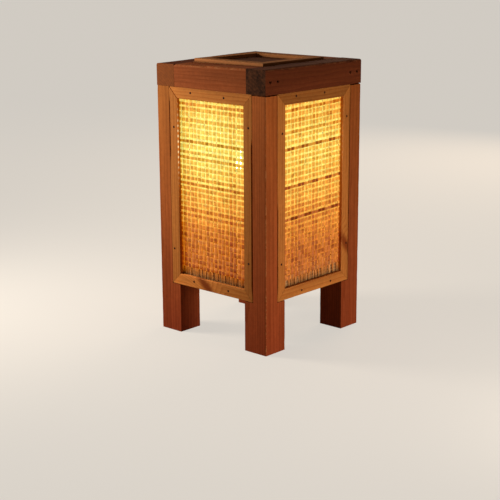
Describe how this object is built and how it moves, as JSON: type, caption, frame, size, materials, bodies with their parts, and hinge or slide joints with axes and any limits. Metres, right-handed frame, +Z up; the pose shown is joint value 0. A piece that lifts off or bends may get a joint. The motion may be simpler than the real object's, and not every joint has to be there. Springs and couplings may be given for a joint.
{
  "type": "night light",
  "caption": "Square wooden night light on four posts, with mitred strip frames over woven bamboo mats and a dark top frame round a lid that lifts out.",
  "frame": {"origin": "centre of the lamp's square plan, on the surface that its four feet stand on", "axes": "+Z up along the lamp's axis, the front side looks along -Y, the right side along +X"},
  "size_m": [0.136, 0.136, 0.2622],
  "materials": {
    "post_wood": "reddish brown softwood, oiled",
    "dark_rail_wood": "dark stained softwood, worn arrises",
    "batten_wood": "plain sawn softwood",
    "strip_pine": "honey pine, oiled",
    "woven_bamboo": "split bamboo, plain weave, unvarnished",
    "blued_steel": "dark nails, flush",
    "zinced_steel": "zinc plated",
    "plywood": "plywood, unvarnished",
    "black_phenolic": "moulded, satin",
    "brass": "pressed sheet",
    "pearl_glass": "pearl bulb, lit",
    "nickelled_cap": "nickel plated thread",
    "black_glass": "fused glass",
    "solder": "solder",
    "lid_wood": "brown stained board",
    "lid_strip_wood": "brown stained pine strip"
  },
  "bodies": {
    "frame": {"post_front_right": "post_wood", "post_back_right": "post_wood", "post_back_left": "post_wood", "post_front_left": "post_wood", "top_rail_front": "dark_rail_wood", "top_rail_right": "dark_rail_wood", "top_rail_back": "dark_rail_wood", "top_rail_left": "dark_rail_wood", "upper_batten_front": "batten_wood", "upper_batten_right": "batten_wood", "upper_batten_back": "batten_wood", "upper_batten_left": "batten_wood", "lower_batten_front": "batten_wood", "lower_batten_right": "batten_wood", "lower_batten_back": "batten_wood", "lower_batten_left": "batten_wood", "front_strip_bottom": "strip_pine", "front_strip_right": "strip_pine", "front_strip_top": "strip_pine", "front_strip_left": "strip_pine", "right_strip_bottom": "strip_pine", "right_strip_right": "strip_pine", "right_strip_top": "strip_pine", "right_strip_left": "strip_pine", "back_strip_bottom": "strip_pine", "back_strip_right": "strip_pine", "back_strip_top": "strip_pine", "back_strip_left": "strip_pine", "left_strip_bottom": "strip_pine", "left_strip_right": "strip_pine", "left_strip_top": "strip_pine", "left_strip_left": "strip_pine", "front_woven_mat": "woven_bamboo", "right_woven_mat": "woven_bamboo", "back_woven_mat": "woven_bamboo", "left_woven_mat": "woven_bamboo", "front_brads": "blued_steel", "right_brads": "blued_steel", "back_brads": "blued_steel", "left_brads": "blued_steel", "rail_nails": "blued_steel", "base_board": "plywood", "base_screws": "zinced_steel", "tube_washers": "zinced_steel", "threaded_tube": "zinced_steel", "lock_nut": "zinced_steel", "holder_body": "black_phenolic", "holder_sleeve": "brass", "holder_contact": "brass", "lid_cleats": "batten_wood"},
    "lid": {"lid_board": "lid_wood", "lid_strip_bottom": "lid_strip_wood", "lid_strip_right": "lid_strip_wood", "lid_strip_top": "lid_strip_wood", "lid_strip_left": "lid_strip_wood", "lid_brads": "blued_steel"},
    "bulb": {"bulb_glass": "pearl_glass", "bulb_cap": "nickelled_cap", "bulb_foot": "black_glass", "bulb_tip": "solder"}
  },
  "joints": [
    {"name": "lid_lift", "type": "slide", "parent": "frame", "child": "lid", "axis": [0, 0, 1], "range_m": [0, 0.04]},
    {"name": "bulb_turn", "type": "hinge", "parent": "frame", "child": "bulb", "pos_m": [0, 0, 0.11], "axis": [0, 0, 1], "range_deg": [0, 1080]}
  ]
}
